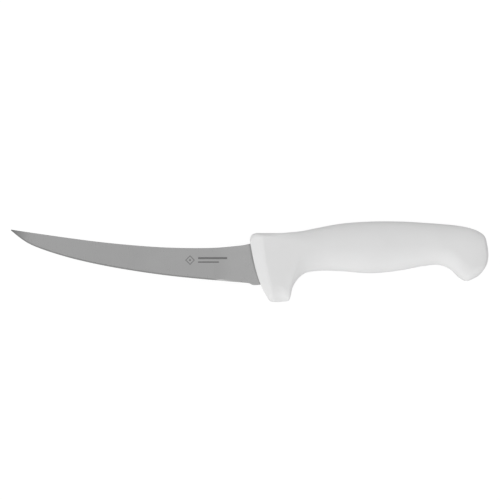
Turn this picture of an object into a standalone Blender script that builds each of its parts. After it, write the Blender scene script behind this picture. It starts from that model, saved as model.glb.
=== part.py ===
"""Curved boning knife with a moulded handle, lying on its side.

+X runs from the blade's tip to the handle's butt, +Y from the cutting edge to the spine, and
+Z stands square to the blade.  The origin is under the middle of the knife, on the surface
that it lies on.  All lengths are in metres.

Three pieces: the blade with its tang in one piece of steel, the inner core that is moulded
first around the tang and through its holes, and the outer cover that is moulded over both.
"""

import bmesh
import bpy
import numpy as np

# ---- driving dimensions --------------------------------------------------------------------

CLEARANCE = 0.0003            # gap between two pieces that touch
HANDLE_HALF = 0.0105          # half the handle's greatest thickness: guard and belly
CENTRE_Z = HANDLE_HALF        # height of the blade's middle plane above the resting surface

BLADE_HALF = 0.0010           # half thickness of the unground steel
TIP_HALF = 0.00035            # half thickness of the spine at the tip
SHOULDER_HALF = 0.00032       # half thickness just above the cutting bevel
EDGE_HALF = 0.00004           # half thickness left at the cutting edge
BEVEL_WIDTH = 0.0009          # height of the cutting bevel
CORNER_BREAK = 0.0002         # small chamfer along the spine and the unsharpened heel
CROWN_SHARE = 0.2             # the chamfer takes at most this share of the blade's height
BEVEL_SHARE = 0.4             # and the cutting bevel at most this one
BEVEL_FADE = 0.0015           # the cutting bevel runs out over this length
TAPER_START = -0.060          # the spine thins from here to the tip

TIP_X = -0.145                # forward end of the blade
GRIND_START = -0.0230         # the flat grind starts to run out into the full thickness
GRIND_END = -0.0100           # full thickness from here back
BEVEL_END = -0.0036           # the cutting bevel stops, and the heel behind it is blunt
RICASSO_END = -0.0006         # end of the exactly flat side, just in front of the handle
TANG_START = 0.0085           # the blade's shoulder, inside the handle
TANG_STATIONS = (0.0110, 0.0160)                             # where the tang narrows
TIP_STATIONS = (0.0005, 0.0014, 0.0028, 0.0050, 0.0080)      # distances from the very point
SLOT_START = -0.0040          # the cutter of the tang's room starts here, before the handle
TANG_THINNING = 0.00005       # how much thinner each side of the tang is than the ricasso

TANG_HOLES = ((0.032, 0.0052), (0.058, 0.0092), (0.082, 0.0103))   # centres
TANG_HOLE_RADIUS = 0.0035

SPINE = (
    (-0.1450, 0.0196), (-0.1380, 0.0185), (-0.1265, 0.0168), (-0.1082, 0.0142),
    (-0.0900, 0.0119), (-0.0717, 0.0101), (-0.0535, 0.0088), (-0.0353, 0.0083),
    (-0.0207, 0.0085), (-0.0097, 0.0094), (-0.0036, 0.0101), (0.0009, 0.0110), (0.0085, 0.0112),
)
TANG_TOP = ((0.0085, 0.0112), (0.0150, 0.0113), (0.0320, 0.0120), (0.0580, 0.0155),
            (0.0820, 0.0165), (0.0900, 0.0160), (0.0950, 0.0135))
EDGE = (
    (-0.1450, 0.0190), (-0.1436, 0.0179), (-0.1411, 0.0158), (-0.1338, 0.0109), (-0.1155, 0.0042),
    (-0.0900, -0.0020), (-0.0535, -0.0079), (-0.0170, -0.0116),
    (-0.0036, -0.0127), (0.0002, -0.0132), (0.0020, -0.0141), (0.0045, -0.0142),
    (0.0070, -0.0138), (0.0085, -0.0124),
)
TANG_BOTTOM = ((0.0085, -0.0124), (0.0110, -0.0060), (0.0160, -0.0018), (0.0320, -0.0015),
               (0.0580, 0.0028), (0.0820, 0.0040), (0.0900, 0.0050), (0.0950, 0.0080))

# The handle is lofted through sections.  Each runs from a point on the top outline to a point
# on the bottom outline.  The last five columns are the half thickness, how far the section
# bows towards the tip, how far the rounding reaches in from the top and from the bottom, and
# how far it reaches down the side.
HANDLE_SECTIONS = np.array((
    # front face around the blade, and the slanting band behind it
    (0.0004, 0.0128, 0.0120, -0.0233, 0.0062, 0.0020, 0.0030, 0.0030, 0.0030),
    (0.0014, 0.0161, 0.0130, -0.0242, 0.0069, 0.0020, 0.0030, 0.0040, 0.0032),
    (0.0043, 0.0174, 0.0152, -0.0245, 0.0086, 0.0020, 0.0032, 0.0064, 0.0040),
    (0.0064, 0.0174, 0.0170, -0.0245, 0.0099, 0.0020, 0.0026, 0.0096, 0.0058),
    (0.0084, 0.0174, 0.0187, -0.0244, 0.0105, 0.0020, 0.0025, 0.0120, 0.0068),
    # flat sides of the guard
    (0.0110, 0.0174, 0.0206, -0.0242, 0.0105, 0.0019, 0.0026, 0.0124, 0.0064),
    (0.0140, 0.0174, 0.0229, -0.0240, 0.0105, 0.0017, 0.0029, 0.0112, 0.0045),
    (0.0160, 0.0174, 0.0243, -0.0232, 0.0105, 0.0015, 0.0034, 0.0080, 0.0033),
    (0.0180, 0.0174, 0.0252, -0.0205, 0.0105, 0.0013, 0.0038, 0.0044, 0.0025),
    # from the guard's back into the waist behind it
    (0.0210, 0.0175, 0.0262, -0.0160, 0.0105, 0.0010, 0.0044, 0.0032, 0.0024),
    (0.0255, 0.0179, 0.0288, -0.0112, 0.0104, 0.0006, 0.0052, 0.0066, 0.0034),
    (0.0320, 0.0186, 0.0338, -0.0070, 0.0102, 0.0003, 0.0074, 0.0120, 0.0052),
    (0.0410, 0.0204, 0.0420, -0.0055, 0.0101, 0.0001, 0.0108, 0.0136, 0.0074),
    # grip
    (0.0560, 0.0231, 0.0560, -0.0057, 0.0102, 0.0, 0.0132, 0.0142, 0.0090),
    (0.0740, 0.0244, 0.0740, -0.0070, 0.0105, 0.0, 0.0146, 0.0156, 0.0094),
    (0.0924, 0.0244, 0.0924, -0.0052, 0.0103, 0.0, 0.0138, 0.0144, 0.0092),
    (0.1070, 0.0236, 0.1060, -0.0026, 0.0101, 0.0, 0.0122, 0.0128, 0.0086),
    (0.1180, 0.0228, 0.1150, -0.0019, 0.0101, -0.0002, 0.0118, 0.0118, 0.0082),
    # pommel, with its hook below
    (0.1260, 0.0220, 0.1221, -0.0043, 0.0102, -0.0006, 0.0122, 0.0112, 0.0073),
    (0.1320, 0.0209, 0.1277, -0.0094, 0.0104, -0.0012, 0.0124, 0.0104, 0.0061),
    (0.1362, 0.0197, 0.1319, -0.0117, 0.0105, -0.0020, 0.0118, 0.0094, 0.0056),
    (0.1393, 0.0184, 0.1362, -0.0102, 0.0102, -0.0026, 0.0100, 0.0078, 0.0053),
    (0.1420, 0.0166, 0.1398, -0.0080, 0.0094, -0.0025, 0.0060, 0.0062, 0.0050),
    (0.1434, 0.0147, 0.1422, -0.0050, 0.0076, -0.0022, 0.0046, 0.0046, 0.0040),
))
TOP_SQUARENESS = 2.2          # superellipse exponent of the sections' upper corners
BOTTOM_SQUARENESS = 1.7       # and of the lower ones, which are nearly straight slopes
BOW_SKEW = 0.40               # the bow is fullest a little below the middle of a section

CORE_FRONT = 4.4              # the core's first section, counted along HANDLE_SECTIONS
CORE_BACK = 20.0              # and its last
CORE_WALL_TOP = 0.0042        # thickness of the cover around the core
CORE_WALL_BOTTOM = 0.0048
CORE_WALL_SIDE = 0.0036
CORE_GROOVE_PLACES = (9.5, 12.5, 15.5, 18.0)    # grooves that lock the cover to the core
CORE_GROOVE_DEPTH = 0.0007
CORE_GROOVE_HALF = 0.10       # half width of a groove's floor, as a share of one section's stretch
CORE_GROOVE_FLANK = 0.16      # width of each of its flanks, in the same measure

ROUND_SHARE = 0.95            # a corner takes at most this share of the half thickness
END_STRETCH = 0.0035          # spacing of HANDLE_SECTIONS at the core's two ends

HANDLE_STEP = 0.0033          # longest stretch between two lofted sections
CORE_STEP = 0.0060
BLADE_STEP = 0.0042
HANDLE_CORNER_STEPS = 5       # flats to each rounded corner of a section
CORE_CORNER_STEPS = 3
SIDE_STEPS = 4                # stretches across the flatter side between two corners
OUTLINE_STEPS = 16            # stretches between two points of the blade's outlines
HOLE_STEPS = 20               # flats around a hole in the tang

BLADE_CREASE = 0.14           # edges sharper than this many radians stay crisp
HANDLE_CREASE = 0.5

STEEL = ((0.60, 0.60, 0.59), 1.0, 0.34)              # colour, metallic and roughness
CORE_PLASTIC = ((0.72, 0.72, 0.68), 0.0, 0.50)
COVER_PLASTIC = ((0.84, 0.84, 0.83), 0.0, 0.42)

# ---- curves --------------------------------------------------------------------------------


def smooth_curve(points, places):
    """Points along a centripetal Catmull-Rom curve; place k is the k-th given point."""
    points = np.asarray(points, dtype=float)
    places = np.asarray(places, dtype=float)
    ends = np.vstack((2 * points[0] - points[1], points, 2 * points[-1] - points[-2]))
    chords = np.linalg.norm(np.diff(ends, axis=0), axis=1)
    knots = np.concatenate(((0.0,), np.cumsum(np.sqrt(chords))))
    first = np.clip(np.floor(places).astype(int), 0, len(points) - 2)
    share = (places - first)[:, None]
    k0, k1, k2, k3 = (knots[first + shift][:, None] for shift in range(4))
    p0, p1, p2, p3 = (ends[first + shift] for shift in range(4))
    t = k1 + share * (k2 - k1)
    a1 = ((k1 - t) * p0 + (t - k0) * p1) / (k1 - k0)
    a2 = ((k2 - t) * p1 + (t - k1) * p2) / (k2 - k1)
    a3 = ((k3 - t) * p2 + (t - k2) * p3) / (k3 - k2)
    b1 = ((k2 - t) * a1 + (t - k0) * a2) / (k2 - k0)
    b2 = ((k3 - t) * a2 + (t - k1) * a3) / (k3 - k1)
    return ((k2 - t) * b1 + (t - k1) * b2) / (k2 - k1)


def steady_curve(values, places):
    """Cubic through the values at places 0, 1, 2 and so on that never swings past them."""
    values = np.asarray(values, dtype=float)
    places = np.asarray(places, dtype=float)
    steps = np.diff(values)
    slopes = np.zeros(len(values))
    one_way = steps[:-1] * steps[1:] > 0.0
    slopes[1:-1][one_way] = (2.0 * steps[:-1] * steps[1:])[one_way] / (steps[:-1] + steps[1:])[one_way]
    first = np.clip(np.floor(places).astype(int), 0, len(values) - 2)
    t = places - first
    return (values[first] * (1.0 + 2.0 * t) * (1.0 - t) ** 2
            + slopes[first] * t * (1.0 - t) ** 2
            + values[first + 1] * t ** 2 * (3.0 - 2.0 * t)
            + slopes[first + 1] * t ** 2 * (t - 1.0))


def height_at(outline, x):
    """Height of a smooth outline at x."""
    places = np.linspace(0.0, len(outline) - 1.0, OUTLINE_STEPS * (len(outline) - 1) + 1)
    curve = smooth_curve(outline, places)
    return np.interp(x, curve[:, 0], curve[:, 1])


def ramp(x, start, end):
    """0 up to start, 1 from end on, and a smooth rise between them."""
    t = np.clip((x - start) / (end - start), 0.0, 1.0)
    return t * t * (3.0 - 2.0 * t)


# ---- meshes --------------------------------------------------------------------------------


def loft(name, rings):
    """Object lofted through rings that mirror about the middle plane, closed at both ends.

    Point k of a ring is the mirror image of point k counted from the ring's end.
    """
    mesh = bpy.data.meshes.new(name)
    bm = bmesh.new()
    rows = [[bm.verts.new(point) for point in ring] for ring in rings]
    size = len(rows[0])
    for row, after in zip(rows, rows[1:]):
        for k in range(size):
            nearby = (k + 1) % size
            bm.faces.new((row[k], row[nearby], after[nearby], after[k]))
    for row in (rows[0], rows[-1]):
        for k in range(size // 2 - 1):
            bm.faces.new((row[k], row[k + 1], row[size - 2 - k], row[size - 1 - k]))
    bmesh.ops.recalc_face_normals(bm, faces=bm.faces)
    bm.to_mesh(mesh)
    bm.free()
    thing = bpy.data.objects.new(name, mesh)
    bpy.context.scene.collection.objects.link(thing)
    return thing


def shade_round(thing, sharp_angle):
    """Smooth shading that keeps edges sharper than the angle crisp."""
    thing.data.shade_smooth()
    thing.data.set_sharp_from_angle(angle=sharp_angle)


def as_cutter(thing):
    """Mark an object as a cutter."""
    thing.hide_render = True
    thing.display_type = 'WIRE'
    return thing


def cut(thing, cutter, name):
    """Take the cutter's shape out of the object."""
    boolean = thing.modifiers.new(name, 'BOOLEAN')
    boolean.operation = 'DIFFERENCE'
    boolean.solver = 'EXACT'
    boolean.object = cutter


def material(name, color, metallic, roughness):
    """Principled material of one plain finish."""
    finish = bpy.data.materials.new(name)
    finish.use_nodes = True
    shader = finish.node_tree.nodes['Principled BSDF']
    shader.inputs['Base Color'].default_value = (*color, 1.0)
    shader.inputs['Metallic'].default_value = metallic
    shader.inputs['Roughness'].default_value = roughness
    return finish


# ---- blade ---------------------------------------------------------------------------------


def blade_stations(start):
    """Places along the blade, close together at the tip and at each change of section."""
    marks = [start]
    marks += [x for x in (GRIND_START, GRIND_END, BEVEL_END, RICASSO_END, TANG_START) if x > start]
    marks += [*TANG_STATIONS, TANG_TOP[-1][0]]
    if start == TIP_X:
        marks[1:1] = [start + reach for reach in TIP_STATIONS]
    stations = []
    for low, high in zip(marks, marks[1:]):
        count = int(np.ceil((high - low) / BLADE_STEP))
        stations += list(np.linspace(low, high, count, endpoint=False))
    return np.array(stations + [marks[-1]])


def blade_rings(start, grow):
    """Cross-sections of the blade and tang from start backwards, swollen by grow."""
    x = blade_stations(start)
    in_tang = x > TANG_START
    top = np.where(in_tang, height_at(TANG_TOP, x), height_at(SPINE, x)) + grow
    bottom = np.where(in_tang, height_at(TANG_BOTTOM, x), height_at(EDGE, x)) - grow
    height = top - bottom
    side = BLADE_HALF - (BLADE_HALF - TIP_HALF) * ramp(-x, -TAPER_START, -TIP_X)
    side = side - TANG_THINNING * ramp(x, RICASSO_END, TANG_START)
    ground = 1.0 - ramp(x, GRIND_START, GRIND_END)
    sharpened = 1.0 - ramp(x, BEVEL_END - BEVEL_FADE, BEVEL_END)
    shoulder = side + (np.minimum(SHOULDER_HALF, side) - side) * ground
    lip = side - CORNER_BREAK + (EDGE_HALF - side + CORNER_BREAK) * sharpened
    crown = np.minimum(CORNER_BREAK, CROWN_SHARE * height)
    bevel = CORNER_BREAK + (BEVEL_WIDTH - CORNER_BREAK) * sharpened
    bevel = np.minimum(bevel, BEVEL_SHARE * height)
    rings = []
    for k in range(len(x)):
        profile = ((top[k], side[k] - crown[k]), (top[k] - crown[k], side[k]),
                   (bottom[k] + bevel[k], shoulder[k]), (bottom[k], lip[k]))
        front = [(x[k], y, CENTRE_Z + half + grow) for y, half in profile]
        back = [(x[k], y, CENTRE_Z - half - grow) for y, half in reversed(profile)]
        rings.append(front + back)
    rings[-1] = [(px + grow, y, z) for px, y, z in rings[-1]]
    return rings


def tang_hole_cutter(name, centre, radius):
    """Round cutter through the tang."""
    mesh = bpy.data.meshes.new(name)
    bm = bmesh.new()
    bmesh.ops.create_cone(bm, cap_ends=True, segments=HOLE_STEPS, radius1=radius,
                          radius2=radius, depth=8.0 * BLADE_HALF)
    bm.to_mesh(mesh)
    bm.free()
    thing = bpy.data.objects.new(name, mesh)
    thing.location = (*centre, CENTRE_Z)
    bpy.context.scene.collection.objects.link(thing)
    return as_cutter(thing)


def pierce(thing, name, radius):
    """Cut the tang's holes into an object."""
    for number, centre in enumerate(TANG_HOLES):
        cut(thing, tang_hole_cutter(f"{name}_{number}", centre, radius), f"hole_{number}")


def make_blade():
    """Blade and tang, ground from one strip of steel."""
    blade = loft("blade", blade_rings(TIP_X, 0.0))
    pierce(blade, "cutter_tang_hole", TANG_HOLE_RADIUS)
    blade.data.materials.append(material("satin_steel", *STEEL))
    shade_round(blade, BLADE_CREASE)
    return blade


def make_tang_space():
    """Cutter for the room that the tang takes inside the handle."""
    space = loft("cutter_tang_space", blade_rings(SLOT_START, CLEARANCE))
    pierce(space, "cutter_core_peg", TANG_HOLE_RADIUS - CLEARANCE)
    return as_cutter(space)


# ---- handle --------------------------------------------------------------------------------


def section_places(first, last, step):
    """Places along HANDLE_SECTIONS, no two further apart than step on either outline."""
    marks = [first] + [k for k in range(len(HANDLE_SECTIONS)) if first < k < last] + [last]
    tops = smooth_curve(HANDLE_SECTIONS[:, 0:2], marks)
    bottoms = smooth_curve(HANDLE_SECTIONS[:, 2:4], marks)
    reach = np.maximum(np.linalg.norm(np.diff(tops, axis=0), axis=1),
                       np.linalg.norm(np.diff(bottoms, axis=0), axis=1))
    places = []
    for low, high, length in zip(marks, marks[1:], reach):
        count = int(np.ceil(length / step))
        places += list(np.linspace(low, high, count, endpoint=False))
    return np.array(places + [last])


def section_rows(places):
    """Rows like those of HANDLE_SECTIONS at any places along it."""
    shape = [steady_curve(column, places) for column in HANDLE_SECTIONS[:, 4:].T]
    return np.column_stack((smooth_curve(HANDLE_SECTIONS[:, 0:2], places),
                            smooth_curve(HANDLE_SECTIONS[:, 2:4], places), *shape))


def corner(round_along, round_side, squareness, steps):
    """How far in along the section, and how far below the flat side, a corner's points lie."""
    angles = np.linspace(0.0, 0.5 * np.pi, steps + 1)
    power = 2.0 / squareness
    inward = round_along * (1.0 - np.clip(np.cos(angles), 0.0, 1.0) ** power)
    below = round_side * (1.0 - np.clip(np.sin(angles), 0.0, 1.0) ** power)
    return inward, below


def section_ring(row, steps, top_wall=0.0, bottom_wall=0.0, side_wall=0.0):
    """Closed ring of one section, drawn in by the walls given."""
    top, bottom = row[0:2], row[2:4]
    half, bow, top_round, bottom_round, side_round = row[4:9]
    length = np.linalg.norm(bottom - top)
    along = (bottom - top) / length
    forward = np.array((along[1], -along[0]))
    half = half - side_wall
    side_round = min(side_round, ROUND_SHARE * half)
    shrink = (length - top_wall - bottom_wall) / length
    from_top, below_top = corner(top_round * shrink, side_round, TOP_SQUARENESS, steps)
    from_bottom, below_bottom = corner(bottom_round * shrink, side_round,
                                       BOTTOM_SQUARENESS, steps)
    from_top = top_wall + from_top
    from_bottom = length - bottom_wall - from_bottom[::-1]
    side = np.linspace(from_top[-1], from_bottom[0], SIDE_STEPS + 1)[1:-1]
    down = np.concatenate((from_top, side, from_bottom))
    thick = half - np.concatenate((below_top, np.zeros(len(side)), below_bottom[::-1]))
    share = down / length
    bulge = 4.0 * bow * share * (1.0 - share) * (1.0 + BOW_SKEW * (2.0 * share - 1.0))
    plan = top + np.outer(down, along) + np.outer(bulge, forward)
    front = [(px, py, CENTRE_Z + z) for (px, py), z in zip(plan, thick)]
    back = [(px, py, CENTRE_Z - z) for (px, py), z in zip(plan, thick)]
    return front + back[::-1]


def groove_depth(places):
    """Depth of the core's locking grooves at places along it."""
    depth = np.zeros(len(places))
    for middle in CORE_GROOVE_PLACES:
        away = np.abs(places - middle) - CORE_GROOVE_HALF
        depth = np.maximum(depth, 1.0 - np.clip(away / CORE_GROOVE_FLANK, 0.0, 1.0))
    return CORE_GROOVE_DEPTH * depth


def make_core_shape(name, grow):
    """Outside of the core, swollen by grow."""
    end_shift = grow / END_STRETCH
    places = list(section_places(CORE_FRONT - end_shift, CORE_BACK + end_shift, CORE_STEP))
    for middle in CORE_GROOVE_PLACES:
        for reach in (CORE_GROOVE_HALF, CORE_GROOVE_HALF + CORE_GROOVE_FLANK):
            places += [middle - reach, middle + reach]
    places = np.unique(np.round(places, 4))
    rings = []
    for row, groove in zip(section_rows(places), groove_depth(places)):
        inset = groove - grow
        rings.append(section_ring(row, CORE_CORNER_STEPS, CORE_WALL_TOP + inset,
                                  CORE_WALL_BOTTOM + inset, CORE_WALL_SIDE + inset))
    return loft(name, rings)


def make_core(tang_space):
    """Inner core, moulded around the tang and through its holes."""
    core = make_core_shape("handle_core", 0.0)
    cut(core, tang_space, "tang_space")
    core.data.materials.append(material("natural_polypropylene", *CORE_PLASTIC))
    shade_round(core, HANDLE_CREASE)
    return core


def make_cover(tang_space):
    """Outer cover, moulded over the core, with its guard, belly and pommel hook."""
    places = section_places(0.0, len(HANDLE_SECTIONS) - 1.0, HANDLE_STEP)
    rings = [section_ring(row, HANDLE_CORNER_STEPS) for row in section_rows(places)]
    cover = loft("handle_cover", rings)
    cut(cover, as_cutter(make_core_shape("cutter_core_space", CLEARANCE)), "core_space")
    cut(cover, tang_space, "blade_slot")
    cover.data.materials.append(material("white_polypropylene", *COVER_PLASTIC))
    shade_round(cover, HANDLE_CREASE)
    return cover


def main():
    """Model the knife."""
    for thing in list(bpy.data.objects):
        bpy.data.objects.remove(thing)
    tang_space = make_tang_space()
    knife = bpy.data.objects.new("knife", None)
    bpy.context.scene.collection.objects.link(knife)
    for piece in (make_blade(), make_core(tang_space), make_cover(tang_space)):
        piece.parent = knife


main()
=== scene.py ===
"""Looks of the curved boning knife: satin steel blade and white moulded handle.

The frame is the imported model's: +X from the tip to the butt, +Y from the edge to the spine,
+Z up, metres.  The handle cover and the blade are rebuilt here as fine meshes on the same
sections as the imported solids, a plain etched mark is added to the blade, and the core stays as
it is, with a better material.
"""
import math

import bmesh
import bpy
import numpy as np
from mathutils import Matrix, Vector


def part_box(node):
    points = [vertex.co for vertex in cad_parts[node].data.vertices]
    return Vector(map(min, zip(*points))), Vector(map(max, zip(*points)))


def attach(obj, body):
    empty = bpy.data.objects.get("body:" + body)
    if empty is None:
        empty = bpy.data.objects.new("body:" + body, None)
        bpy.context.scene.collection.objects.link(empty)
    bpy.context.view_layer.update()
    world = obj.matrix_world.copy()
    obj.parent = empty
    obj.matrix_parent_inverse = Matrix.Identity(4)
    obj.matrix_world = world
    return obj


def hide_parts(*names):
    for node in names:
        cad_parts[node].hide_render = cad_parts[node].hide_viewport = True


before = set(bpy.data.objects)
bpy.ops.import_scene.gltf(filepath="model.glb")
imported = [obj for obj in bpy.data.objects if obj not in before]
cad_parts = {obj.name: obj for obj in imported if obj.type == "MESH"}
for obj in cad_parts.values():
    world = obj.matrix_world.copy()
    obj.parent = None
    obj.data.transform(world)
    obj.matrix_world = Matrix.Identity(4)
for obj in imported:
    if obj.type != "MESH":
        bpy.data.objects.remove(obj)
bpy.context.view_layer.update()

# ---- driving dimensions --------------------------------------------------------------------

COVER_LOW, COVER_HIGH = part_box("handle_cover")
CENTRE_Z = 0.5 * (COVER_LOW.z + COVER_HIGH.z)    # height of the blade's middle plane

BLADE_HALF = 0.0010           # half thickness of the unground steel
TIP_HALF = 0.00050            # half thickness of the spine shortly before the tip
POINT_HALF = 0.00010          # half thickness of the very point
POINT_REACH = 0.012           # the spine narrows over this length to the point
SHOULDER_HALF = 0.00030       # half thickness just above the cutting bevel
EDGE_HALF = 0.00002           # half thickness left at the cutting edge
BEVEL_WIDTH = 0.0009          # height of the cutting bevel
CORNER_BREAK = 0.0002         # small chamfer along the spine and the unsharpened heel
CROWN_SHARE = 0.2             # the chamfer takes at most this share of the blade's height
CROWN_TOP = 0.9               # how far in the very top of the spine lies, as a share of the chamfer
CROWN_TURN = 0.3              # place of the point between the top and the side, as such a share
THIN_SHARE = 0.5              # the top keeps at least this share of the half thickness
SHOULDER_SHARE = 0.55         # the shoulder has at most this share of it
BEVEL_SHARE = 0.3             # the cutting bevel takes at most this share of the blade's height
BEVEL_TURN = 0.35             # place of the point inside the bevel, as a share of the bevel
BEVEL_FADE = 0.0015           # the cutting bevel runs out over this length
TAPER_START = -0.060          # the spine thins from here to the tip

TIP_X = -0.145                # forward end of the blade
GRIND_START = -0.0230         # the flat grind starts to run out into the full thickness
GRIND_END = -0.0100           # full thickness from here back
BEVEL_END = -0.0036           # the cutting bevel stops, and the heel behind it is blunt
RICASSO_END = -0.0006         # end of the exactly flat side, just in front of the handle
TANG_START = 0.0085           # the blade's shoulder, inside the handle
TANG_STATIONS = (0.0110, 0.0160)                             # where the tang narrows
TIP_STATIONS = (0.0004, 0.0010, 0.0020, 0.0040, 0.0080)      # distances from the very point
TANG_THINNING = 0.00005       # how much thinner each side of the tang is than the ricasso

MARK_LEFT = -0.0389           # the etched mark on the blade's upper face starts here
MARK_MIDDLE = 0.0010          # height of the mark's middle
MARK_DIAMOND = 0.0029         # half diagonal of its diamond
MARK_STROKE = 0.0006          # width of the diamond's outline
MARK_DOT = 0.00072            # half diagonal of the small square in the diamond
# Its bars: start and end from the mark's left, height above its middle, and half width.
MARK_BARS = ((0.0078, 0.0255, 0.0012, 0.0006), (0.0078, 0.0205, -0.0012, 0.0004))
MARK_BAR_POINTS = 12
MARK_LIFT = 0.00001           # how far the mark lies above the steel
MERGE_REACH = 0.000001        # its corners closer than this are one

TANG_HOLES = ((0.032, 0.0052), (0.058, 0.0092), (0.082, 0.0103))   # centres
TANG_HOLE_RADIUS = 0.0035

SPINE = (
    (-0.1450, 0.0196), (-0.1380, 0.0185), (-0.1265, 0.0168), (-0.1082, 0.0142),
    (-0.0900, 0.0119), (-0.0717, 0.0101), (-0.0535, 0.0088), (-0.0353, 0.0083),
    (-0.0207, 0.0085), (-0.0097, 0.0094), (-0.0036, 0.0101), (0.0009, 0.0110), (0.0085, 0.0112),
)
TANG_TOP = ((0.0085, 0.0112), (0.0150, 0.0113), (0.0320, 0.0120), (0.0580, 0.0155),
            (0.0820, 0.0165), (0.0900, 0.0160), (0.0950, 0.0135))
EDGE = (
    (-0.1450, 0.0190), (-0.1436, 0.0179), (-0.1411, 0.0158), (-0.1338, 0.0109), (-0.1155, 0.0042),
    (-0.0900, -0.0020), (-0.0535, -0.0079), (-0.0170, -0.0116),
    (-0.0036, -0.0127), (0.0002, -0.0132), (0.0020, -0.0141), (0.0045, -0.0142),
    (0.0070, -0.0138), (0.0085, -0.0124),
)
TANG_BOTTOM = ((0.0085, -0.0124), (0.0110, -0.0060), (0.0160, -0.0018), (0.0320, -0.0015),
               (0.0580, 0.0028), (0.0820, 0.0040), (0.0900, 0.0050), (0.0950, 0.0080))

# The handle is lofted through sections.  Each runs from a point on the top outline to a point
# on the bottom outline.  The last five columns are the half thickness, how far the section
# bows towards the tip, how far the rounding reaches in from the top and from the bottom, and
# how far it reaches down the side.
HANDLE_SECTIONS = np.array((
    # front face around the blade, and the slanting band behind it
    (0.0004, 0.0128, 0.0120, -0.0233, 0.0062, 0.0020, 0.0030, 0.0030, 0.0030),
    (0.0014, 0.0161, 0.0130, -0.0242, 0.0069, 0.0020, 0.0030, 0.0040, 0.0032),
    (0.0043, 0.0174, 0.0152, -0.0245, 0.0086, 0.0020, 0.0032, 0.0064, 0.0040),
    (0.0064, 0.0174, 0.0170, -0.0245, 0.0099, 0.0020, 0.0026, 0.0096, 0.0058),
    (0.0084, 0.0174, 0.0187, -0.0244, 0.0105, 0.0020, 0.0025, 0.0120, 0.0068),
    # flat sides of the guard
    (0.0110, 0.0174, 0.0206, -0.0242, 0.0105, 0.0019, 0.0026, 0.0124, 0.0064),
    (0.0140, 0.0174, 0.0229, -0.0240, 0.0105, 0.0017, 0.0029, 0.0112, 0.0045),
    (0.0160, 0.0174, 0.0243, -0.0232, 0.0105, 0.0015, 0.0034, 0.0080, 0.0033),
    (0.0180, 0.0174, 0.0252, -0.0205, 0.0105, 0.0013, 0.0038, 0.0044, 0.0025),
    # from the guard's back into the waist behind it
    (0.0210, 0.0175, 0.0262, -0.0160, 0.0105, 0.0010, 0.0044, 0.0032, 0.0024),
    (0.0255, 0.0179, 0.0288, -0.0112, 0.0104, 0.0006, 0.0052, 0.0066, 0.0034),
    (0.0320, 0.0186, 0.0338, -0.0070, 0.0102, 0.0003, 0.0074, 0.0120, 0.0052),
    (0.0410, 0.0204, 0.0420, -0.0055, 0.0101, 0.0001, 0.0108, 0.0136, 0.0074),
    # grip
    (0.0560, 0.0231, 0.0560, -0.0057, 0.0102, 0.0, 0.0132, 0.0142, 0.0090),
    (0.0740, 0.0244, 0.0740, -0.0070, 0.0105, 0.0, 0.0146, 0.0156, 0.0094),
    (0.0924, 0.0244, 0.0924, -0.0052, 0.0103, 0.0, 0.0138, 0.0144, 0.0092),
    (0.1070, 0.0236, 0.1060, -0.0026, 0.0101, 0.0, 0.0122, 0.0128, 0.0086),
    (0.1180, 0.0228, 0.1150, -0.0019, 0.0101, -0.0002, 0.0118, 0.0118, 0.0082),
    # pommel, with its hook below
    (0.1260, 0.0220, 0.1221, -0.0043, 0.0102, -0.0006, 0.0122, 0.0112, 0.0073),
    (0.1320, 0.0209, 0.1277, -0.0094, 0.0104, -0.0012, 0.0124, 0.0104, 0.0061),
    (0.1362, 0.0197, 0.1319, -0.0117, 0.0105, -0.0020, 0.0118, 0.0094, 0.0056),
    (0.1393, 0.0184, 0.1362, -0.0102, 0.0102, -0.0026, 0.0100, 0.0078, 0.0053),
    (0.1420, 0.0166, 0.1398, -0.0080, 0.0094, -0.0025, 0.0060, 0.0062, 0.0050),
    (0.1434, 0.0147, 0.1422, -0.0050, 0.0076, -0.0022, 0.0046, 0.0046, 0.0040),
))
TOP_SQUARENESS = 2.2          # superellipse exponent of the sections' upper corners
BOTTOM_SQUARENESS = 1.7       # and of the lower ones, which are nearly straight slopes
BOW_SKEW = 0.40               # the bow is fullest a little below the middle of a section

CORE_FRONT = 4.4              # the core's first section, counted along HANDLE_SECTIONS
CORE_BACK = 20.0              # and its last
CORE_WALL_TOP = 0.0042        # thickness of the cover around the core
CORE_WALL_BOTTOM = 0.0048
CORE_WALL_SIDE = 0.0036
CORE_GROOVE_PLACES = (9.5, 12.5, 15.5, 18.0)    # grooves that lock the cover to the core
CORE_GROOVE_DEPTH = 0.0007
CORE_GROOVE_HALF = 0.10       # half width of a groove's floor, as a share of one section's stretch
CORE_GROOVE_FLANK = 0.16      # width of each of its flanks, in the same measure
ROUND_SHARE = 0.95            # a corner takes at most this share of the half thickness
END_STRETCH = 0.0035          # spacing of HANDLE_SECTIONS at the core's two ends

CORE_GAP = 0.0003             # room around the core inside the cover
SLOT_START = -0.0040          # the slot's cutter starts here, in front of the cover
SLOT_STEP = 0.0020
SLOT_GAP = 0.00012            # room around the steel in the cover's slot
SEAM_HEIGHT = 0.00006         # ridge that the mould's parting line leaves
FRONT_HOLLOW = 0.0005         # how far the front face dips around the blade
END_CROWN = 0.0002            # how far the end face swells

HANDLE_STEP = 0.0008          # longest stretch between two lofted sections of the cover
CORE_STEP = 0.0060
BLADE_STEP = 0.0006
CORNER_STEPS = 14             # flats to each rounded corner of a section
SIDE_STEPS = 22               # stretches across the flatter side between two corners
CORE_CORNER_STEPS = 3
CORE_SIDE_STEPS = 4
FACE_STEPS = 8                # stretches across the ground face of the blade
SEAM_COLUMNS = (0.0, 0.035, 0.07, 0.16, 0.36, 0.60, 0.82, 0.94, 1.0)   # from the seam outwards
OUTLINE_STEPS = 24            # stretches between two points of the blade's outlines
HOLE_STEPS = 48               # flats around a hole in the tang

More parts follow.
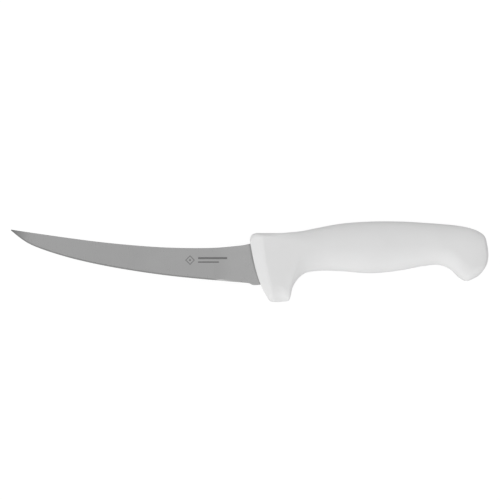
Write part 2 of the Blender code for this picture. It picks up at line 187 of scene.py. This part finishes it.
BLADE_CREASE = math.radians(9.0)     # sharper edges than this stay crisp
COVER_CREASE = math.radians(75.0)

# ---- curves --------------------------------------------------------------------------------


def smooth_curve(points, places):
    """Points along a centripetal Catmull-Rom curve; place k is the k-th given point."""
    points = np.asarray(points, dtype=float)
    places = np.asarray(places, dtype=float)
    ends = np.vstack((2 * points[0] - points[1], points, 2 * points[-1] - points[-2]))
    chords = np.linalg.norm(np.diff(ends, axis=0), axis=1)
    knots = np.concatenate(((0.0,), np.cumsum(np.sqrt(chords))))
    first = np.clip(np.floor(places).astype(int), 0, len(points) - 2)
    share = (places - first)[:, None]
    k0, k1, k2, k3 = (knots[first + shift][:, None] for shift in range(4))
    p0, p1, p2, p3 = (ends[first + shift] for shift in range(4))
    t = k1 + share * (k2 - k1)
    a1 = ((k1 - t) * p0 + (t - k0) * p1) / (k1 - k0)
    a2 = ((k2 - t) * p1 + (t - k1) * p2) / (k2 - k1)
    a3 = ((k3 - t) * p2 + (t - k2) * p3) / (k3 - k2)
    b1 = ((k2 - t) * a1 + (t - k0) * a2) / (k2 - k0)
    b2 = ((k3 - t) * a2 + (t - k1) * a3) / (k3 - k1)
    return ((k2 - t) * b1 + (t - k1) * b2) / (k2 - k1)


def steady_curve(values, places):
    """Cubic through the values at places 0, 1, 2 and so on that never swings past them."""
    values = np.asarray(values, dtype=float)
    places = np.asarray(places, dtype=float)
    steps = np.diff(values)
    slopes = np.zeros(len(values))
    one_way = steps[:-1] * steps[1:] > 0.0
    slopes[1:-1][one_way] = (2.0 * steps[:-1] * steps[1:])[one_way] / (steps[:-1] + steps[1:])[one_way]
    first = np.clip(np.floor(places).astype(int), 0, len(values) - 2)
    t = places - first
    return (values[first] * (1.0 + 2.0 * t) * (1.0 - t) ** 2
            + slopes[first] * t * (1.0 - t) ** 2
            + values[first + 1] * t ** 2 * (3.0 - 2.0 * t)
            + slopes[first + 1] * t ** 2 * (t - 1.0))


def height_at(outline, x):
    """Height of a smooth outline at x."""
    places = np.linspace(0.0, len(outline) - 1.0, OUTLINE_STEPS * (len(outline) - 1) + 1)
    curve = smooth_curve(outline, places)
    return np.interp(x, curve[:, 0], curve[:, 1])


def ramp(x, start, end):
    """0 up to start, 1 from end on, and a smooth rise between them."""
    t = np.clip((x - start) / (end - start), 0.0, 1.0)
    return t * t * (3.0 - 2.0 * t)


# ---- meshes --------------------------------------------------------------------------------


def link(name, mesh):
    """New object of the mesh, in the scene."""
    thing = bpy.data.objects.new(name, mesh)
    bpy.context.scene.collection.objects.link(thing)
    return thing


def perimeter(rows, columns):
    """Grid places around the outside of a grid, in order."""
    around = [(r, 0) for r in range(rows)]
    around += [(rows - 1, c) for c in range(1, columns)]
    around += [(r, columns - 1) for r in range(rows - 2, -1, -1)]
    around += [(0, c) for c in range(columns - 2, 0, -1)]
    return around


def loft(name, grids):
    """Object lofted through the outsides of grids of points, closed by the end grids."""
    rows, columns = grids[0].shape[:2]
    around = perimeter(rows, columns)
    mesh = bpy.data.meshes.new(name)
    bm = bmesh.new()
    last = len(grids) - 1
    rings = []
    for number, grid in enumerate(grids):
        if number in (0, last):
            corners = [[bm.verts.new(grid[r, c]) for c in range(columns)] for r in range(rows)]
            for r in range(rows - 1):
                for c in range(columns - 1):
                    bm.faces.new((corners[r][c], corners[r][c + 1],
                                  corners[r + 1][c + 1], corners[r + 1][c]))
            rings.append([corners[r][c] for r, c in around])
        else:
            rings.append([bm.verts.new(grid[r, c]) for r, c in around])
    for ring, after in zip(rings, rings[1:]):
        for k in range(len(around)):
            nearby = (k + 1) % len(around)
            bm.faces.new((ring[k], ring[nearby], after[nearby], after[k]))
    bmesh.ops.recalc_face_normals(bm, faces=bm.faces)
    bm.to_mesh(mesh)
    bm.free()
    return link(name, mesh)


def cut(thing, cutter):
    """Take the cutter's shape out of the object for good, and remove the cutter."""
    boolean = thing.modifiers.new("cut", 'BOOLEAN')
    boolean.operation = 'DIFFERENCE'
    boolean.solver = 'EXACT'
    boolean.object = cutter
    graph = bpy.context.evaluated_depsgraph_get()
    mesh = bpy.data.meshes.new_from_object(thing.evaluated_get(graph))
    thing.modifiers.clear()
    thing.data = mesh
    bpy.data.objects.remove(cutter)


def shade_round(thing, sharp_angle):
    """Smooth shading that keeps edges sharper than the angle crisp."""
    thing.data.shade_smooth()
    thing.data.set_sharp_from_angle(angle=sharp_angle)


# ---- blade ---------------------------------------------------------------------------------


def blade_stations(start, step):
    """Places along the blade, close together at the tip and at each change of section."""
    marks = [start]
    marks += [x for x in (GRIND_START, GRIND_END, BEVEL_END, RICASSO_END, TANG_START) if x > start]
    marks += [*TANG_STATIONS, TANG_TOP[-1][0]]
    if start == TIP_X:
        marks[1:1] = [start + reach for reach in TIP_STATIONS]
    stations = []
    for low, high in zip(marks, marks[1:]):
        count = int(np.ceil((high - low) / step))
        stations += list(np.linspace(low, high, count, endpoint=False))
    return np.array(stations + [marks[-1]])


def blade_profile(x):
    """Outline and half thicknesses of the blade and tang at the places x."""
    in_tang = x > TANG_START
    top = np.where(in_tang, height_at(TANG_TOP, x), height_at(SPINE, x))
    bottom = np.where(in_tang, height_at(TANG_BOTTOM, x), height_at(EDGE, x))
    side = BLADE_HALF - (BLADE_HALF - TIP_HALF) * ramp(-x, -TAPER_START, -TIP_X)
    side = side - (TIP_HALF - POINT_HALF) * ramp(-x, -TIP_X - POINT_REACH, -TIP_X)
    side = side - TANG_THINNING * ramp(x, RICASSO_END, TANG_START)
    ground = 1.0 - ramp(x, GRIND_START, GRIND_END)
    sharpened = 1.0 - ramp(x, BEVEL_END - BEVEL_FADE, BEVEL_END)
    shoulder = side + (np.minimum(SHOULDER_HALF, SHOULDER_SHARE * side) - side) * ground
    lip = side - CORNER_BREAK + (EDGE_HALF - side + CORNER_BREAK) * sharpened
    crown = np.minimum(CORNER_BREAK, CROWN_SHARE * (top - bottom))
    bevel = CORNER_BREAK + (BEVEL_WIDTH - CORNER_BREAK) * sharpened
    bevel = np.minimum(bevel, BEVEL_SHARE * (top - bottom))
    return top, bottom, side, shoulder, lip, crown, bevel


def blade_grids(start, step, grow):
    """Cross-sections of the blade and tang from start backwards, swollen by grow."""
    x = blade_stations(start, step)
    grids = []
    for place, top, bottom, side, shoulder, lip, crown, bevel in zip(x, *blade_profile(x)):
        face = np.linspace(0.0, 1.0, FACE_STEPS + 1)
        heights = [top + grow, top - CROWN_TURN * crown]
        heights += list(top - crown + (bottom + bevel - top + crown) * face)
        heights += [bottom + BEVEL_TURN * bevel, bottom - grow]
        halves = [max(side - CROWN_TOP * crown, THIN_SHARE * side), side - CROWN_TURN * crown]
        halves += list(side + (shoulder - side) * face)
        halves += [lip + BEVEL_TURN * (shoulder - lip), lip]
        grid = [[(place, y, CENTRE_Z + sign * (half + grow)) for sign in (1.0, 0.0, -1.0)]
                for y, half in zip(heights, halves)]
        grids.append(np.array(grid))
    grids[-1][:, :, 0] += grow
    return grids


def face_height(x, y):
    """Height of the blade's upper face at the points (x, y)."""
    top, bottom, side, shoulder, _, crown, bevel = blade_profile(x)
    share = (top - crown - y) / (top - crown - bottom - bevel)
    return CENTRE_Z + side + (shoulder - side) * share


def mark_outlines():
    """Plan outlines of the mark's patches, each a run of quarters between two edges."""
    patches = []
    for inner, outer in ((MARK_DIAMOND - MARK_STROKE, MARK_DIAMOND), (0.0, MARK_DOT)):
        turns = [(math.cos(k * 0.5 * math.pi), math.sin(k * 0.5 * math.pi)) for k in range(5)]
        centre = np.array((MARK_LEFT + MARK_DIAMOND, MARK_MIDDLE))
        patches.append([(centre + inner * np.array(t), centre + outer * np.array(t)) for t in turns])
    for start, end, rise, half in MARK_BARS:
        places = np.linspace(MARK_LEFT + start, MARK_LEFT + end, MARK_BAR_POINTS)
        patches.append([((x, MARK_MIDDLE + rise - half), (x, MARK_MIDDLE + rise + half)) for x in places])
    return patches


def make_mark():
    """Plain etched mark, a diamond and two bars, on the blade's upper face."""
    mesh = bpy.data.meshes.new("etched_mark")
    bm = bmesh.new()
    for patch in mark_outlines():
        pairs = [[bm.verts.new((x, y, face_height(np.array([x]), y)[0] + MARK_LIFT)) for x, y in pair]
                 for pair in patch]
        for before, after in zip(pairs, pairs[1:]):
            bm.faces.new((before[0], after[0], after[1], before[1]))
    bmesh.ops.remove_doubles(bm, verts=bm.verts, dist=MERGE_REACH)
    bm.normal_update()
    for face in bm.faces:
        if face.normal.z < 0.0:
            face.normal_flip()
    bm.to_mesh(mesh)
    bm.free()
    return link("etched_mark", mesh)


def pierce(thing, radius):
    """Cut the tang's holes into an object."""
    for centre in TANG_HOLES:
        mesh = bpy.data.meshes.new("tang_hole")
        bm = bmesh.new()
        bmesh.ops.create_cone(bm, cap_ends=True, segments=HOLE_STEPS, radius1=radius,
                              radius2=radius, depth=8.0 * BLADE_HALF)
        bmesh.ops.translate(bm, verts=bm.verts, vec=(*centre, CENTRE_Z))
        bm.to_mesh(mesh)
        bm.free()
        cut(thing, link("tang_hole", mesh))


def make_blade():
    """Blade and tang, ground from one strip of steel."""
    blade = loft("ground_blade", blade_grids(TIP_X, BLADE_STEP, 0.0))
    pierce(blade, TANG_HOLE_RADIUS)
    shade_round(blade, BLADE_CREASE)
    return blade


# ---- handle --------------------------------------------------------------------------------


def section_places(first, last, step):
    """Places along HANDLE_SECTIONS, no two further apart than step on either outline."""
    marks = [first] + [k for k in range(len(HANDLE_SECTIONS)) if first < k < last] + [last]
    tops = smooth_curve(HANDLE_SECTIONS[:, 0:2], marks)
    bottoms = smooth_curve(HANDLE_SECTIONS[:, 2:4], marks)
    reach = np.maximum(np.linalg.norm(np.diff(tops, axis=0), axis=1),
                       np.linalg.norm(np.diff(bottoms, axis=0), axis=1))
    places = []
    for low, high, length in zip(marks, marks[1:], reach):
        count = int(np.ceil(length / step))
        places += list(np.linspace(low, high, count, endpoint=False))
    return np.array(places + [last])


def section_rows(places):
    """Rows like those of HANDLE_SECTIONS at any places along it."""
    shape = [steady_curve(column, places) for column in HANDLE_SECTIONS[:, 4:].T]
    return np.column_stack((smooth_curve(HANDLE_SECTIONS[:, 0:2], places),
                            smooth_curve(HANDLE_SECTIONS[:, 2:4], places), *shape))


def corner(round_along, round_side, squareness, steps):
    """How far in along the section, and how far below the flat side, a corner's points lie."""
    angles = np.linspace(0.0, 0.5 * np.pi, steps + 1)
    power = 2.0 / squareness
    inward = round_along * (1.0 - np.clip(np.cos(angles), 0.0, 1.0) ** power)
    below = round_side * (1.0 - np.clip(np.sin(angles), 0.0, 1.0) ** power)
    return inward, below


def section_grid(row, steps, side_steps, columns, walls=(0.0, 0.0, 0.0), seam=0.0):
    """Grid of points across one section, drawn in by the walls at the top, bottom and sides."""
    top, bottom = row[0:2], row[2:4]
    half, bow, top_round, bottom_round, side_round = row[4:9]
    top_wall, bottom_wall, side_wall = walls
    length = np.linalg.norm(bottom - top)
    along = (bottom - top) / length
    forward = np.array((along[1], -along[0]))
    half = half - side_wall
    side_round = min(side_round, ROUND_SHARE * half)
    shrink = (length - top_wall - bottom_wall) / length
    from_top, below_top = corner(top_round * shrink, side_round, TOP_SQUARENESS, steps)
    from_bottom, below_bottom = corner(bottom_round * shrink, side_round,
                                       BOTTOM_SQUARENESS, steps)
    from_top = top_wall + from_top
    from_bottom = length - bottom_wall - from_bottom[::-1]
    side = np.linspace(from_top[-1], from_bottom[0], side_steps + 1)[1:-1]
    down = np.concatenate((from_top, side, from_bottom))
    thick = half - np.concatenate((below_top, np.zeros(len(side)), below_bottom[::-1]))
    share = down / length
    bulge = 4.0 * bow * share * (1.0 - share) * (1.0 + BOW_SKEW * (2.0 * share - 1.0))
    plan = top + np.outer(down, along) + np.outer(bulge, forward)
    spread = [-c for c in reversed(columns[1:])] + list(columns)
    grid = np.empty((len(down), len(spread), 3))
    grid[:, :, 0:2] = plan[:, None, :]
    grid[:, :, 2] = CENTRE_Z - np.outer(thick, spread)
    middle = len(columns) - 1
    grid[0, middle, 0:2] -= seam * along
    grid[-1, middle, 0:2] += seam * along
    return grid


def groove_depth(places):
    """Depth of the core's locking grooves at places along it."""
    depth = np.zeros(len(places))
    for middle in CORE_GROOVE_PLACES:
        away = np.abs(places - middle) - CORE_GROOVE_HALF
        depth = np.maximum(depth, 1.0 - np.clip(away / CORE_GROOVE_FLANK, 0.0, 1.0))
    return CORE_GROOVE_DEPTH * depth


def core_space():
    """Room for the core inside the cover."""
    end_shift = CORE_GAP / END_STRETCH
    places = list(section_places(CORE_FRONT - end_shift, CORE_BACK + end_shift, CORE_STEP))
    for middle in CORE_GROOVE_PLACES:
        for reach in (CORE_GROOVE_HALF, CORE_GROOVE_HALF + CORE_GROOVE_FLANK):
            places += [middle - reach, middle + reach]
    places = np.unique(np.round(places, 4))
    grids = []
    for row, groove in zip(section_rows(places), groove_depth(places)):
        walls = np.array((CORE_WALL_TOP, CORE_WALL_BOTTOM, CORE_WALL_SIDE)) + groove - CORE_GAP
        grids.append(section_grid(row, CORE_CORNER_STEPS, CORE_SIDE_STEPS, (0.0, 1.0), walls))
    return loft("core_space", grids)


def swell(grid, reach):
    """Push an end face towards the butt by up to reach, most in its middle."""
    rows, columns = grid.shape[:2]
    down = np.linspace(-1.0, 1.0, rows)[:, None]
    across = (grid[:, :, 2] - CENTRE_Z) / np.abs(grid[:, -1:, 2] - CENTRE_Z)
    grid[:, :, 0] += reach * (1.0 - down ** 4) * (1.0 - across ** 2)


def make_cover():
    """Outer cover, with its guard, belly and pommel hook, open where the blade enters it."""
    places = section_places(0.0, len(HANDLE_SECTIONS) - 1.0, HANDLE_STEP)
    grids = [section_grid(row, CORNER_STEPS, SIDE_STEPS, SEAM_COLUMNS, seam=SEAM_HEIGHT)
             for row in section_rows(places)]
    swell(grids[0], FRONT_HOLLOW)
    swell(grids[-1], END_CROWN)
    cover = loft("moulded_cover", grids)
    cut(cover, core_space())
    cut(cover, loft("slot", blade_grids(SLOT_START, SLOT_STEP, SLOT_GAP)))
    shade_round(cover, COVER_CREASE)
    return cover


# ---- materials -----------------------------------------------------------------------------

STEEL_DARK = (0.518, 0.518, 0.518)
STEEL_LIGHT = (0.542, 0.542, 0.542)
STEEL_ROUGHNESS = (0.26, 0.38)
STEEL_LINES = 4200.0          # scale of the grinding lines, which run across the blade
STEEL_LINE_STRETCH = (1.0, 0.03, 0.3)
STEEL_LINE_DEPTH = 0.000006
STEEL_CLOUDS = 46.0           # scale of its faint patches
ETCH_DARK = (0.20, 0.20, 0.20)
ETCH_LIGHT = (0.26, 0.26, 0.26)
ETCH_ROUGHNESS = (0.48, 0.60)
ETCH_GRAIN = 4000.0
WHITE_DARK = (0.793, 0.793, 0.793)
WHITE_LIGHT = (0.807, 0.807, 0.807)
WHITE_ROUGHNESS = (0.38, 0.48)
WHITE_GRAIN = 3200.0          # scale of the mould's texture
WHITE_GRAIN_DEPTH = 0.000015
WHITE_CLOUDS = 70.0
POLYPROPYLENE_IOR = 1.49
SCATTER_SHARE = 0.12          # share of the light that goes a little way into the white plastic
SCATTER_DEPTH = 0.0012
CORE_DARK = (0.69, 0.69, 0.65)
CORE_LIGHT = (0.74, 0.74, 0.70)
CORE_ROUGHNESS = (0.46, 0.56)
CORE_FLOW = 160.0             # scale of its flow marks
CORE_FLOW_DEPTH = 0.00003

# The handle's front edge is close to an arc in plan.  The steel's colour is darkened as a painted
# contact shadow in a narrow line along it, and as painted shade towards the very point:
# brightness low, brightness high, from distance, to distance.
FRONT_CENTRE = (0.0907, 0.0219, CENTRE_Z)
CONTACT_SHADE = (0.72, 1.0, 0.0910, 0.0918)
POINT = (TIP_X, 0.0193, CENTRE_Z)
POINT_SHADE = (0.62, 1.0, 0.0015, 0.0110)
# Painted shade on the narrow bevels along the edge and the spine, darker the more they turn towards
# either.
BEVEL_SHADE = (1.0, 0.74, 0.10, 0.22)    # the same for narrow bevels, from slant, to slant


def new_material(name):
    """Empty node material with its shader and output joined."""
    finish = bpy.data.materials.new(name)
    finish.use_nodes = True
    tree = finish.node_tree
    tree.nodes.clear()
    shader = tree.nodes.new('ShaderNodeBsdfPrincipled')
    output = tree.nodes.new('ShaderNodeOutputMaterial')
    tree.links.new(shader.outputs['BSDF'], output.inputs['Surface'])
    return finish, tree, shader


def place_node(tree, stretch):
    """Object coordinates, scaled by stretch along each axis."""
    coordinates = tree.nodes.new('ShaderNodeTexCoord')
    mapping = tree.nodes.new('ShaderNodeMapping')
    mapping.inputs['Scale'].default_value = stretch
    tree.links.new(coordinates.outputs['Object'], mapping.inputs['Vector'])
    return mapping.outputs['Vector']


def noise_node(tree, stretch, scale, detail=3.0, roughness=0.5):
    """Noise value over the object."""
    noise = tree.nodes.new('ShaderNodeTexNoise')
    noise.inputs['Scale'].default_value = scale
    noise.inputs['Detail'].default_value = detail
    noise.inputs['Roughness'].default_value = roughness
    tree.links.new(place_node(tree, stretch), noise.inputs['Vector'])
    return noise.outputs['Fac']


def map_node(tree, value, low, high, from_low=0.3, from_high=0.7):
    """Value mapped from its usual range to low..high."""
    node = tree.nodes.new('ShaderNodeMapRange')
    node.inputs['From Min'].default_value = from_low
    node.inputs['From Max'].default_value = from_high
    node.inputs['To Min'].default_value = low
    node.inputs['To Max'].default_value = high
    tree.links.new(value, node.inputs['Value'])
    return node.outputs['Result']


def math_node(tree, operation, *values):
    """Result of one sum or product of sockets and numbers."""
    node = tree.nodes.new('ShaderNodeMath')
    node.operation = operation
    for socket, value in zip(node.inputs, values):
        if isinstance(value, bpy.types.NodeSocket):
            tree.links.new(value, socket)
        else:
            socket.default_value = value
    return node.outputs['Value']


def towards_node(tree, coordinates, direction):
    """How nearly a direction of the sky points along the one given."""
    node = tree.nodes.new('ShaderNodeVectorMath')
    node.operation = 'DOT_PRODUCT'
    node.inputs[1].default_value = direction
    tree.links.new(coordinates, node.inputs[0])
    return node.outputs['Value']


def mix_color(tree, factor, first, second):
    """Colour between first and second."""
    node = tree.nodes.new('ShaderNodeMix')
    node.data_type = 'RGBA'
    node.inputs['A'].default_value = (*first, 1.0)
    node.inputs['B'].default_value = (*second, 1.0)
    tree.links.new(factor, node.inputs['Factor'])
    return node.outputs['Result']


def distance_node(tree, centre):
    """Distance from a point."""
    node = tree.nodes.new('ShaderNodeVectorMath')
    node.operation = 'DISTANCE'
    node.inputs[1].default_value = centre
    tree.links.new(place_node(tree, (1.0, 1.0, 1.0)), node.inputs[0])
    return node.outputs['Value']


def slant_node(tree):
    """How far the surface is turned towards the spine or the edge."""
    coordinates = tree.nodes.new('ShaderNodeTexCoord')
    parts = tree.nodes.new('ShaderNodeSeparateXYZ')
    tree.links.new(coordinates.outputs['Normal'], parts.inputs['Vector'])
    return math_node(tree, 'ABSOLUTE', parts.outputs['Y'])


def scale_color(tree, color, factor):
    """Colour times a number."""
    node = tree.nodes.new('ShaderNodeVectorMath')
    node.operation = 'SCALE'
    tree.links.new(color, node.inputs[0])
    tree.links.new(factor, node.inputs['Scale'])
    return node.outputs['Vector']


def bump_node(tree, height, distance, strength):
    """Bump from a height value."""
    node = tree.nodes.new('ShaderNodeBump')
    node.inputs['Distance'].default_value = distance
    node.inputs['Strength'].default_value = strength
    tree.links.new(height, node.inputs['Height'])
    return node.outputs['Normal']


def satin_steel():
    """Stainless steel ground across the blade and then satin finished."""
    finish, tree, shader = new_material("satin_steel_ground")
    lines = noise_node(tree, STEEL_LINE_STRETCH, STEEL_LINES, detail=4.0, roughness=0.65)
    clouds = noise_node(tree, (1.0, 1.6, 1.0), STEEL_CLOUDS)
    color = mix_color(tree, map_node(tree, clouds, 0.0, 1.0), STEEL_DARK, STEEL_LIGHT)
    # Painted contact shadow: the steel's colour is darker in a narrow line along the handle's front edge.
    painted_contact_shadow = map_node(tree, distance_node(tree, FRONT_CENTRE), *CONTACT_SHADE)
    # Painted shade: the steel's colour is darker towards the very point.
    painted_point_shade = map_node(tree, distance_node(tree, POINT), *POINT_SHADE)
    # Painted shade: the steel's colour is darker on the bevels turned towards the spine or the edge.
    painted_bevel_shade = map_node(tree, slant_node(tree), *BEVEL_SHADE)
    for shade in (painted_contact_shadow, painted_point_shade, painted_bevel_shade):
        color = scale_color(tree, color, shade)
    tree.links.new(color, shader.inputs['Base Color'])
    tree.links.new(map_node(tree, lines, *STEEL_ROUGHNESS), shader.inputs['Roughness'])
    tree.links.new(bump_node(tree, lines, STEEL_LINE_DEPTH, strength=0.6), shader.inputs['Normal'])
    shader.inputs['Metallic'].default_value = 1.0
    return finish


def etched_steel():
    """Steel etched dark and matt."""
    finish, tree, shader = new_material("etched_steel")
    grain = noise_node(tree, (1.0, 1.0, 1.0), ETCH_GRAIN)
    color = mix_color(tree, map_node(tree, grain, 0.0, 1.0), ETCH_DARK, ETCH_LIGHT)
    tree.links.new(color, shader.inputs['Base Color'])
    tree.links.new(map_node(tree, grain, *ETCH_ROUGHNESS), shader.inputs['Roughness'])
    shader.inputs['Metallic'].default_value = 1.0
    return finish


def white_plastic():
    """White polypropylene with the fine satin texture of its mould."""
    finish, tree, shader = new_material("white_polypropylene_satin")
    grain = noise_node(tree, (1.0, 1.0, 1.0), WHITE_GRAIN, detail=2.0)
    clouds = noise_node(tree, (1.0, 1.0, 1.0), WHITE_CLOUDS)
    color = mix_color(tree, map_node(tree, clouds, 0.0, 1.0), WHITE_DARK, WHITE_LIGHT)
    tree.links.new(color, shader.inputs['Base Color'])
    tree.links.new(map_node(tree, grain, *WHITE_ROUGHNESS), shader.inputs['Roughness'])
    tree.links.new(bump_node(tree, grain, WHITE_GRAIN_DEPTH, strength=0.6), shader.inputs['Normal'])
    shader.inputs['IOR'].default_value = POLYPROPYLENE_IOR
    shader.inputs['Subsurface Weight'].default_value = SCATTER_SHARE
    shader.inputs['Subsurface Radius'].default_value = (1.0, 1.0, 1.0)
    shader.inputs['Subsurface Scale'].default_value = SCATTER_DEPTH
    return finish


def natural_plastic():
    """Uncoloured polypropylene of the core, with faint flow marks."""
    finish, tree, shader = new_material("natural_polypropylene_core")
    flow = noise_node(tree, (0.3, 1.0, 1.0), CORE_FLOW, detail=4.0)
    color = mix_color(tree, map_node(tree, flow, 0.0, 1.0), CORE_DARK, CORE_LIGHT)
    tree.links.new(color, shader.inputs['Base Color'])
    tree.links.new(map_node(tree, flow, *CORE_ROUGHNESS), shader.inputs['Roughness'])
    tree.links.new(bump_node(tree, flow, CORE_FLOW_DEPTH, strength=0.3), shader.inputs['Normal'])
    return finish


def dress(thing, finish):
    """Give an object one material."""
    thing.data.materials.clear()
    thing.data.materials.append(finish)


# ---- pieces on the frame -------------------------------------------------------------------


def stand_in(piece, node, finish):
    """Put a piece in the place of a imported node."""
    dress(piece, finish)
    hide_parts(node)
    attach(piece, "root")


def make_knife():
    """All the pieces of the knife."""
    stand_in(make_blade(), "blade", satin_steel())
    mark = make_mark()
    dress(mark, etched_steel())
    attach(mark, "root")
    stand_in(make_cover(), "handle_cover", white_plastic())
    dress(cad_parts["handle_core"], natural_plastic())


# ---- stage, light and camera ---------------------------------------------------------------

SKY_SIDE = 0.975              # brightness of the surroundings
SKY_TOP = 0.71                # brightness straight above
SKY_TOP_REACH = (0.62, 0.94)  # heights between which it changes from the one to the other
SKY_LEAN = 0.33               # how much brighter the sky is towards the lower left
SKY_TOWARDS = (-0.78, -0.60, 0.20)
SKY_BELOW = 0.45              # share of that light that comes from under the horizon
HORIZON_REACH = (-0.25, 0.15)
GLOW = 0.28                   # how much brighter a wide lamp low on the edge's side is
GLOW_AT = (-0.20, -0.90, 0.38)
GLOW_REACH = (0.55, 0.90)     # cosines of the angles at which the glow begins and is full
CARD = 0.80                   # how much a grey card takes out of the light on the edge
CARD_AT = (-0.28, -0.47, 0.84)
CARD_REACH = (0.88, 0.970)    # cosines of the angles at which the card begins and is full
PICTURE_WIDTH = 0.3044        # width of what the camera sees at the blade
PICTURE_CENTRE = (0.0005, 0.00715)
LENS_MM = 200.0
SENSOR_MM = 36.0
CLIP_REACH = (0.01, 50.0)
FLOOR_SIZE = 12.0
FLOOR_DROP = 0.0001           # how far the floor lies below the knife
FLOOR_COLOR = (0.16, 0.16, 0.16, 1.0)
FLOOR_ROUGHNESS = 0.9
FLOOR_GLOW = 0.90


def make_sky():
    """Soft light from all round, brighter from the lower left, with a lamp and a grey card."""
    world = bpy.data.worlds.new("soft_sky")
    bpy.context.scene.world = world
    world.use_nodes = True
    tree = world.node_tree
    background = tree.nodes['Background']
    background.inputs['Color'].default_value = (1.0, 1.0, 1.0, 1.0)
    sky = tree.nodes.new('ShaderNodeTexCoord').outputs['Generated']
    lean = towards_node(tree, sky, SKY_TOWARDS)
    height = towards_node(tree, sky, (0.0, 0.0, 1.0))
    card = towards_node(tree, sky, Vector(CARD_AT).normalized())
    lamp = towards_node(tree, sky, Vector(GLOW_AT).normalized())
    top = map_node(tree, height, 0.0, SKY_TOP - SKY_SIDE, *SKY_TOP_REACH)
    shade = map_node(tree, card, 0.0, -CARD, *CARD_REACH)
    glow = map_node(tree, lamp, 0.0, GLOW, *GLOW_REACH)
    below = map_node(tree, height, SKY_BELOW, 1.0, *HORIZON_REACH)
    total = math_node(tree, 'MULTIPLY_ADD', lean, SKY_LEAN, SKY_SIDE)
    for change in (top, shade, glow):
        total = math_node(tree, 'ADD', total, change)
    total = math_node(tree, 'MULTIPLY', total, below)
    tree.links.new(total, background.inputs['Strength'])


def make_floor():
    """Plain pale floor under the knife, evenly lit from within like a light table."""
    bpy.ops.mesh.primitive_plane_add(size=FLOOR_SIZE, location=(0.0, 0.0, -FLOOR_DROP))
    floor = bpy.context.object
    floor.name = "floor"
    finish, tree, shader = new_material("pale_floor")
    shader.inputs['Base Color'].default_value = FLOOR_COLOR
    shader.inputs['Roughness'].default_value = FLOOR_ROUGHNESS
    shader.inputs['Specular IOR Level'].default_value = 0.0
    shader.inputs['Emission Color'].default_value = (1.0, 1.0, 1.0, 1.0)
    shader.inputs['Emission Strength'].default_value = FLOOR_GLOW
    dress(floor, finish)
    floor.visible_diffuse = False
    floor.visible_glossy = False
    floor.visible_transmission = False
    floor.visible_shadow = False


def make_camera():
    """Long lens straight above the knife."""
    camera = bpy.data.cameras.new("camera")
    camera.lens = LENS_MM
    camera.sensor_width = SENSOR_MM
    camera.clip_start, camera.clip_end = CLIP_REACH
    thing = bpy.data.objects.new("camera", camera)
    thing.location = (*PICTURE_CENTRE, CENTRE_Z + PICTURE_WIDTH * LENS_MM / SENSOR_MM)
    bpy.context.scene.collection.objects.link(thing)
    bpy.context.scene.camera = thing


def set_tone():
    """Plain tone curve, so that white stays white."""
    bpy.context.scene.view_settings.view_transform = 'Standard'
    bpy.context.scene.view_settings.look = 'None'


make_knife()
make_sky()
make_floor()
make_camera()
set_tone()
